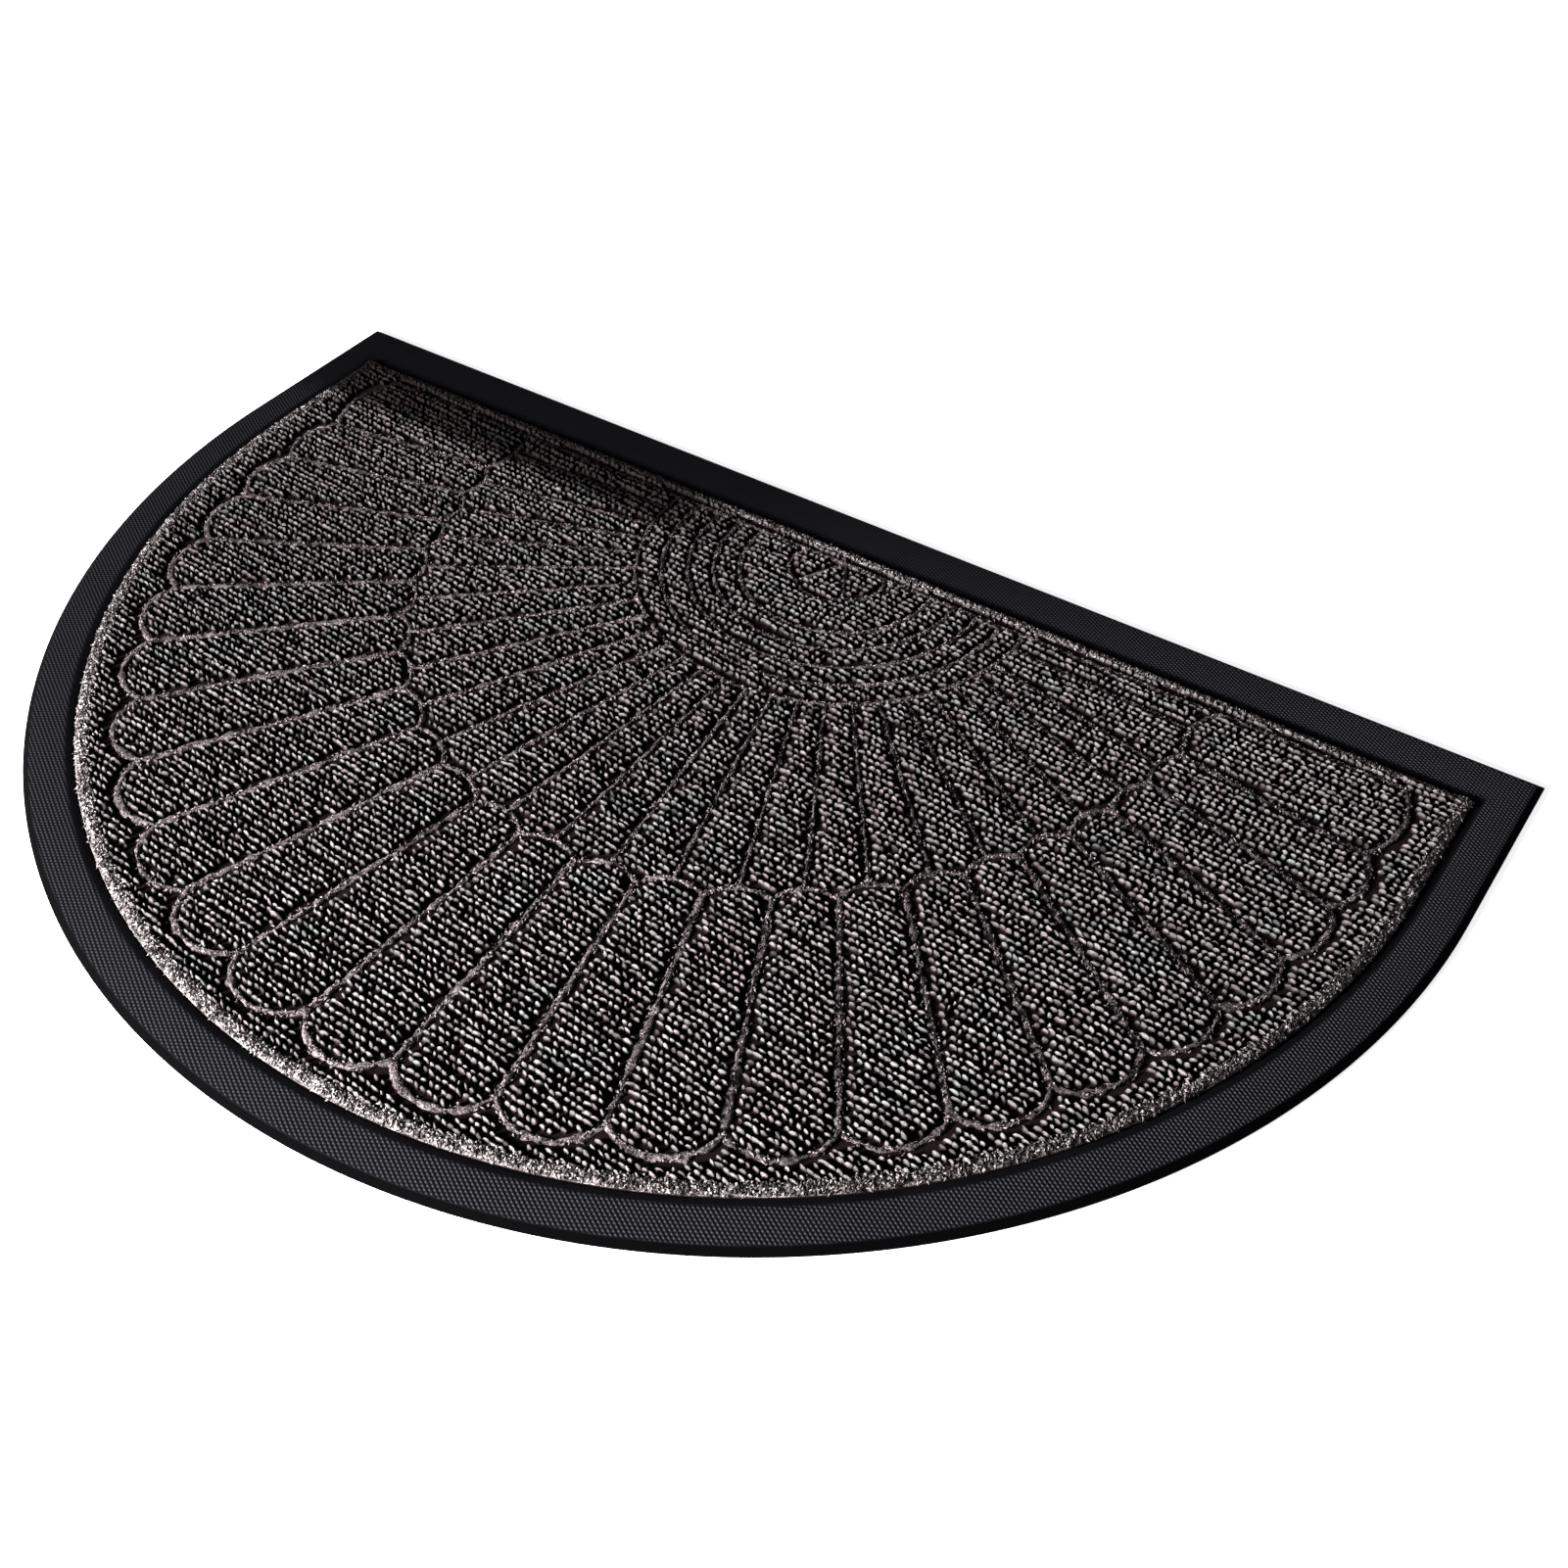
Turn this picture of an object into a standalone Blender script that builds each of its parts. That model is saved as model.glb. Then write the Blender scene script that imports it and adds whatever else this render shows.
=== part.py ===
"""A half-round doormat: a moulded rubber base with a bevelled rim, and a carpet panel set in its tray.

The carpet is pressed with a fan: five half-round bands at the middle of the back edge, rays that
open out from them, and a ring of long petals with rounded ends.

Metres, +Z up. The mat lies flat on z = 0, with the middle of its box over the origin and its
straight back edge towards +Y.
"""

import bpy
import numpy as np
from mathutils import Vector
from mathutils.geometry import delaunay_2d_cdt

# The mat's outline: straight sides below the back edge, then one half of an ellipse.
MAT_WIDTH = 0.900
MAT_DEPTH = 0.600
STRAIGHT_SIDE = 0.132
BACK_Y = MAT_DEPTH / 2
CURVE_Y = BACK_Y - STRAIGHT_SIDE
CURVE_DEPTH = MAT_DEPTH - STRAIGHT_SIDE
CURVE_STEPS = 64
SIDE_STEPS = 4
BACK_STEPS = 20

# The rubber rim, and the tray inside it.
RIM_WIDTH = 0.030
BACK_RIM_WIDTH = 0.041
LIP_HEIGHT = 0.0012
BEVEL_WIDTH = 0.0035
BEVEL_HEIGHT = 0.0046
RIM_HEIGHT = 0.0056
ROLL_WIDTH = 0.0035
ROLL_HEIGHT = 0.0048
TRAY_FLOOR = 0.0025

# The carpet panel.
CLEARANCE = 0.0003
EDGE_HEIGHT = 0.0054
EDGE_SHOULDER_WIDTH = 0.0030
EDGE_SHOULDER_HEIGHT = 0.0068
EDGE_STRIP_WIDTH = 0.0090
BACK_STRIP_SHARE = 0.6
PILE_HEIGHT = 0.0084

# The pressed grooves between the raised shapes: half the floor's width, then the width of a bank.
GROOVE_HEIGHT = 0.0064
GROOVE_FLOOR = 0.0012
GROOVE_SLOPE = 0.0017

# The fan. Angles are from straight down the mat, and distances from the fan's centre.
FAN_Y = BACK_Y - 0.061
FAN_TOP = 0.008
PETAL_PITCH = np.radians(7.1)
PETALS = 25
BAND_COUNT = 5
BAND_FIRST = 0.065
BAND_PITCH = 0.017
BAND_STEPS = 30
RING_HALF_WIDTH = 0.265
RING_DEPTH = 0.309
ARCH_RISE = 0.007
ARCH_STEPS = 8
RAY_END_STEPS = 2
PETAL_INSET = 0.067
SCALLOP_SIDE = 0.010
SCALLOP_FRONT = 0.019
SCALLOP_STEPS = 8
STRAIGHT_STEPS = 4
ROSETTE_RADIUS = 0.030
ROSETTE_LOBE = 0.009
ROSETTE_PETALS = 3
ROSETTE_STEPS = 8

# Finishes.
RUBBER_COLOUR = (0.0168, 0.0176, 0.0222, 1.0)
RUBBER_ROUGHNESS = 0.55
CARPET_COLOUR = (0.048, 0.041, 0.042, 1.0)
CARPET_ROUGHNESS = 0.95

# Contours nearer than this to each other would count as touching.
TOUCHING = 1e-9


def outline(side_inset, back_inset):
    """The mat's outline moved inwards, anticlockwise from the right end of the back edge."""
    half = MAT_WIDTH / 2 - side_inset
    back = BACK_Y - back_inset
    across = np.linspace(half, -half, BACK_STEPS + 1)[:-1]
    down = np.linspace(back, CURVE_Y, SIDE_STEPS + 1)[:-1]
    turn = np.linspace(np.pi, 2 * np.pi, CURVE_STEPS + 1)
    curve = np.stack([half * np.cos(turn), CURVE_Y + (CURVE_DEPTH - side_inset) * np.sin(turn)], 1)
    curve[0] = -half, CURVE_Y
    curve[-1] = half, CURVE_Y
    return np.concatenate([
        np.stack([across, np.full(BACK_STEPS, back)], 1),
        np.stack([np.full(SIDE_STEPS, -half), down], 1),
        curve,
        np.stack([np.full(SIDE_STEPS - 1, half), down[:0:-1]], 1),
    ])


def rim_loop(width):
    """The outline at a distance from the edge, where the back rim is wider in proportion."""
    return outline(width, width * BACK_RIM_WIDTH / RIM_WIDTH)


def carpet_loop(width):
    """The carpet's outline at a distance from its cut edge, where the strip along the back is narrower."""
    return outline(RIM_WIDTH + CLEARANCE + width, BACK_RIM_WIDTH + CLEARANCE + BACK_STRIP_SHARE * width)


def moved_in(loop, distance):
    """An anticlockwise loop moved inwards by a distance, with mitred corners."""
    ahead = np.roll(loop, -1, axis=0) - loop
    ahead /= np.linalg.norm(ahead, axis=1)[:, None]
    left = np.stack([-ahead[:, 1], ahead[:, 0]], 1)
    mitre = left + np.roll(left, 1, axis=0)
    mitre /= np.linalg.norm(mitre, axis=1)[:, None]
    reach = distance / (mitre * left).sum(1)
    return loop + mitre * reach[:, None]


def straight(start, end, steps=STRAIGHT_STEPS):
    """Points from start up to, but not including, end."""
    share = np.arange(steps)[:, None] / steps
    return np.asarray(start) + share * (np.asarray(end) - start)


def bowed(start, end, rise, steps):
    """Points on a round arc from start up to, but not including, end, that bulges to the right."""
    start, end = np.asarray(start), np.asarray(end)
    half = np.linalg.norm(end - start) / 2
    along = (end - start) / (2 * half)
    right = np.array([along[1], -along[0]])
    radius = (half ** 2 + rise ** 2) / (2 * rise)
    opening = 2 * np.arctan2(rise, half)
    angle = np.linspace(-opening, opening, steps + 1)[:-1, None]
    middle = (start + end) / 2 - right * (radius - rise)
    return middle + radius * (np.sin(angle) * along + np.cos(angle) * right)


def fan_point(angle, distance):
    """The point at an angle and a distance from the fan's centre."""
    angle = np.asarray(angle)
    distance = np.asarray(distance)
    return np.stack([distance * np.sin(angle), FAN_Y - distance * np.cos(angle)], -1)


def ring_distance(angle):
    """How far the ring between rays and petals is from the fan's centre: an ellipse."""
    return 1 / np.hypot(np.sin(angle) / RING_HALF_WIDTH, np.cos(angle) / RING_DEPTH)


def petal_distance(angle):
    """How far the petals' outer corners are from the fan's centre: on an inner copy of the outline."""
    half = MAT_WIDTH / 2 - PETAL_INSET
    deep = CURVE_DEPTH - PETAL_INSET
    drop = FAN_Y - CURVE_Y
    sine, cosine = np.abs(np.sin(angle)), np.cos(angle)
    to_side = half / sine
    a = (sine / half) ** 2 + (cosine / deep) ** 2
    b = drop * cosine / deep ** 2
    c = (drop / deep) ** 2 - 1
    to_curve = (b + np.sqrt(b ** 2 - a * c)) / a
    return np.where(to_side * cosine < drop, to_side, to_curve)


def on_top_line(half_width):
    """The two points of the groove along the back edge, left and right, at a half-width."""
    return np.array([-half_width, FAN_Y + FAN_TOP]), np.array([half_width, FAN_Y + FAN_TOP])


def end_angle(distance):
    """The angle at which a half circle about the fan's centre meets the groove along the back."""
    return np.pi / 2 + np.arcsin(FAN_TOP / distance)


def arc(distance, start, end, steps):
    """Points on a circle about the fan's centre, from one angle to the other, both ends included."""
    return fan_point(np.linspace(start, end, steps + 1), distance)


def fan_corners():
    """Feet and outer corners of the lines between petals, from left to right, ends on the back line."""
    angles = (np.arange(PETALS - 1) - (PETALS - 2) / 2) * PETAL_PITCH
    feet = fan_point(angles, ring_distance(angles))
    tips = fan_point(angles, petal_distance(angles))
    left_foot, right_foot = on_top_line(RING_HALF_WIDTH)
    left_tip, right_tip = on_top_line(MAT_WIDTH / 2 - PETAL_INSET)
    return np.vstack([left_foot, feet, right_foot]), np.vstack([left_tip, tips, right_tip])


def scallop_rise(start, end):
    """How far a petal's rounded end stands out: most at the front of the mat."""
    middle = (start + end) / 2 - (0, FAN_Y)
    forward = middle[1] ** 2 / (middle @ middle)
    return SCALLOP_SIDE + (SCALLOP_FRONT - SCALLOP_SIDE) * forward


def petal_cells(feet, tips):
    """Each petal: down one side, round its outer end, up the other side, and over the arch."""
    for k in range(PETALS):
        yield np.vstack([
            straight(feet[k], tips[k]),
            bowed(tips[k], tips[k + 1], scallop_rise(tips[k], tips[k + 1]), SCALLOP_STEPS),
            straight(tips[k + 1], feet[k + 1]),
            bowed(feet[k + 1], feet[k], ARCH_RISE, ARCH_STEPS),
        ])


def ray_cells(feet):
    """Each cell between two rays, out to the arches; the rays run from the outer band to the arch tops."""
    arches = [bowed(feet[k], feet[k + 1], -ARCH_RISE, ARCH_STEPS) for k in range(PETALS)]
    ring = np.vstack([*arches, feet[-1:]])
    cuts = [0, *range(ARCH_STEPS // 2, len(ring), ARCH_STEPS), len(ring) - 1]
    inner = BAND_FIRST + BAND_PITCH * (BAND_COUNT - 1)
    angles = np.arctan2(ring[cuts, 0], FAN_Y - ring[cuts, 1])
    angles[[0, -1]] = -end_angle(inner), end_angle(inner)
    for k in range(PETALS + 1):
        rim = arc(inner, angles[k + 1], angles[k], RAY_END_STEPS)
        yield np.vstack([
            ring[cuts[k]:cuts[k + 1]],
            straight(ring[cuts[k + 1]], rim[0]),
            rim[:-1],
            straight(rim[-1], ring[cuts[k]]),
        ])


def band_cells():
    """The half-round bands about the fan's centre, each between two grooves."""
    for k in range(BAND_COUNT - 1):
        inner = BAND_FIRST + BAND_PITCH * k
        outer = inner + BAND_PITCH
        yield np.vstack([
            arc(outer, -end_angle(outer), end_angle(outer), BAND_STEPS),
            arc(inner, end_angle(inner), -end_angle(inner), BAND_STEPS),
        ])


def rosette_cells():
    """Three small petals at the fan's centre, and the half disc that they are set in."""
    angles = np.linspace(-end_angle(ROSETTE_RADIUS), end_angle(ROSETTE_RADIUS), ROSETTE_PETALS + 1)
    tips = fan_point(angles, ROSETTE_RADIUS)
    heart = np.array([0.0, FAN_Y + FAN_TOP])
    lobes = [bowed(tips[k], tips[k + 1], ROSETTE_LOBE, ROSETTE_STEPS) for k in range(ROSETTE_PETALS)]
    for k in range(ROSETTE_PETALS):
        yield np.vstack([straight(heart, tips[k]), lobes[k], straight(tips[k + 1], heart)])
    scalloped = np.vstack([*lobes, tips[-1:]])
    half_disc = arc(BAND_FIRST, -end_angle(BAND_FIRST), end_angle(BAND_FIRST), BAND_STEPS)
    yield np.vstack([half_disc, scalloped[::-1]])


def fan_outline(tips):
    """The groove round the whole fan: the petals' rounded ends, then the straight line along the back."""
    ends = [
        bowed(tips[k], tips[k + 1], scallop_rise(tips[k], tips[k + 1]), SCALLOP_STEPS)
        for k in range(PETALS)
    ]
    return np.vstack([*ends, straight(tips[-1], tips[0], 2 * BACK_STEPS)])


def carpet_contours():
    """Every contour of the carpet's top as (loop, height), none of which touch each other."""
    feet, tips = fan_corners()
    contours = [
        (carpet_loop(0.0), EDGE_HEIGHT),
        (carpet_loop(EDGE_SHOULDER_WIDTH), EDGE_SHOULDER_HEIGHT),
        (carpet_loop(EDGE_STRIP_WIDTH), PILE_HEIGHT),
    ]
    bank = GROOVE_FLOOR + GROOVE_SLOPE
    around = fan_outline(tips)
    contours.append((moved_in(around, -bank), PILE_HEIGHT))
    contours.append((moved_in(around, -GROOVE_FLOOR), GROOVE_HEIGHT))
    for cell in [*petal_cells(feet, tips), *ray_cells(feet), *band_cells(), *rosette_cells()]:
        contours.append((moved_in(cell, GROOVE_FLOOR), GROOVE_HEIGHT))
        contours.append((moved_in(cell, bank), PILE_HEIGHT))
    return contours


def surface_over(contours):
    """Points and triangles of the surface that joins contours at their heights.

    Also returns the new place of each contour point, in the order that the contours give them.
    """
    flat, height, edges = [], [], []
    for loop, level in contours:
        first, count = len(flat), len(loop)
        flat += [Vector(point) for point in loop.tolist()]
        height += [level] * count
        edges += [(first + k, first + (k + 1) % count) for k in range(count)]
    points, _, faces, sources, _, _ = delaunay_2d_cdt(flat, edges, [], 0, TOUCHING)
    if len(points) != len(flat):
        raise ValueError("two contours of the carpet cross")
    raised = [(point.x, point.y, height[source[0]]) for point, source in zip(points, sources)]
    order = {source[0]: k for k, source in enumerate(sources)}
    return raised, [tuple(face) for face in faces], order


def add_object(name, points, faces, colour, roughness):
    """A mesh object with its own material."""
    mesh = bpy.data.meshes.new(name)
    mesh.from_pydata(points, [], faces)
    mesh.validate()
    mesh.update()
    material = bpy.data.materials.new(name)
    material.use_nodes = True
    shader = material.node_tree.nodes["Principled BSDF"]
    shader.inputs["Base Color"].default_value = colour
    shader.inputs["Roughness"].default_value = roughness
    shader.inputs["Metallic"].default_value = 0.0
    mesh.materials.append(material)
    thing = bpy.data.objects.new(name, mesh)
    bpy.context.scene.collection.objects.link(thing)
    return thing


def facing_up(points, face):
    """The triangle in the order that faces +Z."""
    a, b, c = (points[k] for k in face)
    turn = (b[0] - a[0]) * (c[1] - a[1]) - (b[1] - a[1]) * (c[0] - a[0])
    return face if turn > 0 else face[::-1]


def rubber_base():
    """The moulded base: underside, lip, bevel, rim, the roll down beside the carpet, and the tray."""
    levels = [
        (0.0, 0.0),
        (0.0, LIP_HEIGHT),
        (BEVEL_WIDTH, BEVEL_HEIGHT),
        (RIM_WIDTH - ROLL_WIDTH, RIM_HEIGHT),
        (RIM_WIDTH, ROLL_HEIGHT),
        (RIM_WIDTH, TRAY_FLOOR),
    ]
    points, faces = [], []
    for width, height in levels:
        points += [(x, y, height) for x, y in rim_loop(width).tolist()]
    count = len(points) // len(levels)
    for level in range(len(levels) - 1):
        for k in range(count):
            a, b = level * count + k, level * count + (k + 1) % count
            faces.append((a, b, b + count, a + count))
    under, floor = len(points), len(points) + 1
    points += [(0.0, 0.0, 0.0), (0.0, 0.0, TRAY_FLOOR)]
    top = (len(levels) - 1) * count
    for k in range(count):
        after = (k + 1) % count
        faces.append((after, k, under))
        faces.append((top + k, top + after, floor))
    return add_object("rubber_base", points, faces, RUBBER_COLOUR, RUBBER_ROUGHNESS)


def carpet_panel():
    """The carpet: its pressed top, its cut edge, and its flat back just above the tray's floor."""
    contours = carpet_contours()
    points, top, order = surface_over(contours)
    faces = [facing_up(points, face) for face in top]
    edge = len(contours[0][0])
    first = len(points)
    bottom = TRAY_FLOOR + CLEARANCE
    points += [(x, y, bottom) for x, y in contours[0][0].tolist()]
    middle = len(points)
    points.append((0.0, 0.0, bottom))
    for k in range(edge):
        after = (k + 1) % edge
        faces.append((first + k, first + after, order[after], order[k]))
        faces.append((first + after, first + k, middle))
    return add_object("carpet_panel", points, faces, CARPET_COLOUR, CARPET_ROUGHNESS)


for old in list(bpy.data.objects):
    bpy.data.objects.remove(old)

rubber_base()
carpet_panel()
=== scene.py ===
"""A half-round doormat: a carpet panel with a pressed fan, set in a moulded rubber base.

Metres, +Z up. The mat lies on z = 0 with its straight back edge towards +Y.
"""

import bpy
import numpy as np
from mathutils import Matrix, Vector


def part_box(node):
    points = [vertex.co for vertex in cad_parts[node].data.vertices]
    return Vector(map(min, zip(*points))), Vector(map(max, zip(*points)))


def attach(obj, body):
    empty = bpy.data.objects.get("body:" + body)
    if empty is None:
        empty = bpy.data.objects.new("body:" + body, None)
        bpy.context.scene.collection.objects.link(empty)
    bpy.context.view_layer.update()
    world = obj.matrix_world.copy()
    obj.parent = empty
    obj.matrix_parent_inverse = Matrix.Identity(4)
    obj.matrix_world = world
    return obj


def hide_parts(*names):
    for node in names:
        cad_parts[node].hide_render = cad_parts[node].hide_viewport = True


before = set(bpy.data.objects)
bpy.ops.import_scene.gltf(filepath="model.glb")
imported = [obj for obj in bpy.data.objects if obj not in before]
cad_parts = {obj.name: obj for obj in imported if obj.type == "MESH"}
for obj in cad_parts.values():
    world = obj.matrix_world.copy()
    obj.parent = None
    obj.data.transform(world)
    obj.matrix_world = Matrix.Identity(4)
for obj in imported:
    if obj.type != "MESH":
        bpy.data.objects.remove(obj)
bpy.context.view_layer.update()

# The rubber base
# One moulding of black rubber: a flat underside, a thin lip, a steep bevel, a broad rim with a fine
# grain of raised points, and a smooth roll down into the tray that holds the carpet.

base_low, base_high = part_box("rubber_base")
carpet_low, carpet_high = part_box("carpet_panel")
mat_half = base_high.x
back_edge = base_high.y
straight_side = 0.132
curve_start = back_edge - straight_side
curve_depth = curve_start - base_low.y

clearance = 0.0003
rim = carpet_low.x - base_low.x - clearance
back_rim = base_high.y - carpet_high.y - clearance
rim_top = base_high.z
tray_floor = carpet_low.z - clearance

back_steps, side_steps, curve_steps = 90, 16, 260


def outline(side_inset, back_inset):
    """The mat's outline moved inwards, anticlockwise from the right end of the back edge.

    A straight back, straight sides, and the lower half of an ellipse whose half-axes are the mat's
    half width and the curve's depth, both less the inset.
    """
    half, deep = mat_half - side_inset, curve_depth - side_inset
    back = back_edge - back_inset
    across = np.linspace(half, -half, back_steps, endpoint=False)
    down = np.linspace(back, curve_start, side_steps, endpoint=False)
    turn = np.linspace(np.pi, 2 * np.pi, curve_steps + 1)
    up = np.linspace(curve_start, back, side_steps, endpoint=False)[1:]
    return np.concatenate([
        np.stack([across, np.full_like(across, back)], 1),
        np.stack([np.full_like(down, -half), down], 1),
        np.stack([half * np.cos(turn), curve_start + deep * np.sin(turn)], 1),
        np.stack([np.full_like(up, half), up], 1),
    ])


def rounded(corners, rounding, steps=4):
    """A profile with its inner corners rounded: at each, a quadratic curve from a point `rounding`
    before the corner to a point as far after it, pulled towards the corner."""
    corners = np.asarray(corners, float)
    share = np.linspace(0, 1, steps)[:, None]
    points = [corners[:1]]
    for before, corner, after, radius in zip(corners, corners[1:], corners[2:], rounding):
        start = corner + (before - corner) / np.linalg.norm(before - corner) * radius
        end = corner + (after - corner) / np.linalg.norm(after - corner) * radius
        points.append(start * (1 - share) ** 2 + corner * 2 * share * (1 - share) + end * share ** 2)
    return np.vstack([*points, corners[-1:]])


def ring_faces(rows, around, first=0):
    """Quads between neighbouring rings of points, each ring closed on itself."""
    row, step = np.meshgrid(np.arange(rows - 1), np.arange(around), indexing="ij")
    here = first + row * around + step
    beside = first + row * around + (step + 1) % around
    return np.stack([here, beside, beside + around, here + around], -1).reshape(-1, 4)


def capped(rings, low, high):
    """A closed skin: rings of points from one pole to the other, with a fan of triangles at each."""
    rows, around = rings.shape[:2]
    points = np.vstack([rings.reshape(-1, 3), [low], [high]])
    step = np.arange(around)
    after = (step + 1) % around
    last = (rows - 1) * around
    under = np.stack([after, step, np.full(around, rows * around)], 1)
    over = np.stack([last + step, last + after, np.full(around, rows * around + 1)], 1)
    return points, [ring_faces(rows, around), under, over]


def add_piece(name, points, faces, slot_name, replaced, **measures):
    """A piece of the mat from its points and faces, with one value a point for each measure."""
    corners = np.concatenate([kind.ravel() for kind in faces])
    sides = np.concatenate([np.full(len(kind), kind.shape[1]) for kind in faces])
    mesh = bpy.data.meshes.new(name)
    mesh.vertices.add(len(points))
    mesh.vertices.foreach_set("co", np.asarray(points, np.float32).ravel())
    mesh.loops.add(len(corners))
    mesh.loops.foreach_set("vertex_index", corners.astype(np.int32))
    mesh.polygons.add(len(sides))
    mesh.polygons.foreach_set("loop_start", (np.cumsum(sides) - sides).astype(np.int32))
    mesh.update(calc_edges=True)
    mesh.shade_smooth()
    for measure, values in measures.items():
        layer = mesh.attributes.new(measure, "FLOAT", "POINT")
        layer.data.foreach_set("value", np.asarray(values, np.float32))
    piece = bpy.data.objects.new(name, mesh)
    bpy.context.scene.collection.objects.link(piece)
    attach(piece, "root")
    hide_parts(replaced)
    return piece


class Strand:
    """One value in a finish. Arithmetic on it adds the Math nodes that work it out."""

    def __init__(self, finish, socket):
        self.finish, self.socket = finish, socket

    def maths(self, operation, *values):
        """A Math node's result for the values, in their order."""
        return self.finish.add("ShaderNodeMath", {"operation": operation}, dict(enumerate(values)))

    def __add__(self, other):
        return self.maths("ADD", self, other)

    def __sub__(self, other):
        return self.maths("SUBTRACT", self, other)

    def __rsub__(self, other):
        return self.maths("SUBTRACT", other, self)

    def __mul__(self, other):
        return self.maths("MULTIPLY", self, other)

    def __truediv__(self, other):
        return self.maths("DIVIDE", self, other)

    def __rtruediv__(self, other):
        return self.maths("DIVIDE", other, self)

    def __pow__(self, other):
        return self.maths("POWER", self, other)

    def __rpow__(self, other):
        return self.maths("POWER", other, self)

    __radd__, __rmul__ = __add__, __mul__

    def cosine(self):
        """The cosine of this, as an angle in radians."""
        return self.maths("COSINE", self)

    def above(self, floor):
        """The larger of this and the floor."""
        return self.maths("MAXIMUM", self, floor)

    def between(self, low, high):
        """0 below low, 1 above high, and a soft rise from one to the other."""
        settings = {"interpolation_type": "SMOOTHSTEP", "clamp": True}
        inputs = {"Value": self, "From Min": low, "From Max": high}
        return self.finish.add("ShaderNodeMapRange", settings, inputs)


class Finish:
    """A material whose nodes are added one by one to a Principled shader."""

    def __init__(self, name, **uniform):
        self.material = bpy.data.materials.new(name)
        self.material.use_nodes = True
        self.tree = self.material.node_tree
        self.shader = self.tree.nodes["Principled BSDF"]
        for socket, value in uniform.items():
            self.shader.inputs[socket.replace("_", " ")].default_value = value

    def put(self, socket, value):
        """Sets a socket to a value, or links it to a strand."""
        if isinstance(value, Strand):
            self.tree.links.new(value.socket, socket)
        else:
            socket.default_value = value

    def add(self, kind, settings=(), inputs=(), output=0):
        """One output of a new node, whose settings are set first and then its inputs."""
        node = self.tree.nodes.new(kind)
        for setting, value in dict(settings).items():
            setattr(node, setting, value)
        for socket, value in dict(inputs).items():
            self.put(node.inputs[socket], value)
        return Strand(self, node.outputs[output])

    def measure(self, name):
        """A value that the mesh holds for each point."""
        return self.add("ShaderNodeAttribute", {"attribute_name": name}, output="Fac")

    def place(self):
        """The point's place on the object."""
        return self.add("ShaderNodeTexCoord", output="Object")

    def noise(self, size, detail=2.0, place=None):
        """Soft noise whose patches are about `size` metres across."""
        inputs = {"Vector": place or self.place(), "Scale": 1 / size, "Detail": detail}
        return self.add("ShaderNodeTexNoise", {}, inputs, "Fac")

    def stretched(self, along, across, up, turn=0.0):
        """The point's place, stretched so that noise of size 1 has these sizes, and turned about Z."""
        scale = (1 / along, 1 / across, 1 / up)
        inputs = {"Vector": self.place(), "Rotation": (0, 0, turn), "Scale": scale}
        return self.add("ShaderNodeMapping", {}, inputs)

    def mixed(self, first, second, share):
        """A colour between two: the first where the share is 0, the second where it is 1."""
        return self.add("ShaderNodeMix", {"data_type": "RGBA"}, {0: share, 6: first, 7: second}, 2)

    def bump(self, height, depth):
        """A normal for a height from 0 to 1 that stands for `depth` metres."""
        inputs = {"Height": height, "Distance": depth, "Strength": 1.0}
        return self.add("ShaderNodeBump", {}, inputs, "Normal")

    def dress(self, *pieces, **varying):
        """Links what varies over the surface, and gives the finish to the pieces."""
        for socket, value in varying.items():
            self.put(self.shader.inputs[socket.replace("_", " ")], value)
        for piece in pieces:
            piece.data.materials.clear()
            piece.data.materials.append(self.material)


lip_height = 0.0012
bevel_width, bevel_height = 0.0035, 0.0046
roll_width, roll_drop = 0.0045, 0.0010
under_margin, tray_margin = 0.0080, 0.0030

# Inset and height of each corner, from the underside round the lip and over the rim to the tray.
rubber_profile = rounded(
    [
        (under_margin, 0.0), (0.0, 0.0), (0.0, lip_height), (bevel_width, bevel_height),
        (rim - roll_width, rim_top), (rim, rim_top - roll_drop),
        (rim, tray_floor), (rim + tray_margin, tray_floor),
    ],
    [0.0003, 0.0004, 0.0011, 0.0024, 0.0007, 0.0003],
    steps=5,
)
grain_start, grain_end, grain_fade = 0.0042, rim - 0.0055, 0.0010
wall_end, wall_fade = 0.0036, 0.0004


def rubber_rings():
    """Rings of the base: outlines at the profile's insets and heights, with the back rim wider in
    proportion, between rings that shrink to the middle of the underside and of the tray.

    With each ring goes how much grain it has, 1 on the rim's face and 0 past a fade at its sides, and
    how much of the outer wall, 1 on the lip and the bevel.
    """
    rings, grain, wall = [], [], []
    for inset, height in rubber_profile:
        past = max(inset - rim, 0.0)
        across = outline(inset, (inset - past) * back_rim / rim + past)
        rings.append(np.insert(across, 2, height, axis=1))
        textured = np.clip(min(inset - grain_start, grain_end - inset) / grain_fade + 0.5, 0, 1)
        grain.append(textured if height > rim_top / 2 else 0.0)
        wall.append(np.clip((wall_end - inset) / wall_fade, 0, 1))
    shrinking = np.array([0.15, 0.4, 0.7, 0.9])[:, None, None]
    under, tray = rings[0] * shrinking, rings[-1] * shrinking[::-1]
    tray[..., 2] = tray_floor
    plain = np.zeros(len(shrinking))
    all_rings = np.concatenate([under, rings, tray])
    return all_rings, np.concatenate([plain, grain, plain]), np.concatenate([plain, wall, plain])


# The strip of painted shade: how far it reaches in from the back edge, and how far it takes to fade in.
shade_strip_depth, shade_strip_fade = 0.098, 0.018


def painted_back_shade(points, start, reach, least):
    """How much of the mat's light a painted shade leaves at points: 1, but less in a strip along the
    back, from `start` towards its left end, where it falls to `least` over the reach. The strip fades
    in as 3 t^2 - 2 t^3."""
    backward = np.clip((points[:, 1] - (back_edge - shade_strip_depth)) / shade_strip_fade, 0, 1)
    leftward = np.clip((start - points[:, 0]) / reach, 0, 1)
    return 1 - (1 - least) * backward ** 2 * (3 - 2 * backward) * leftward
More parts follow.
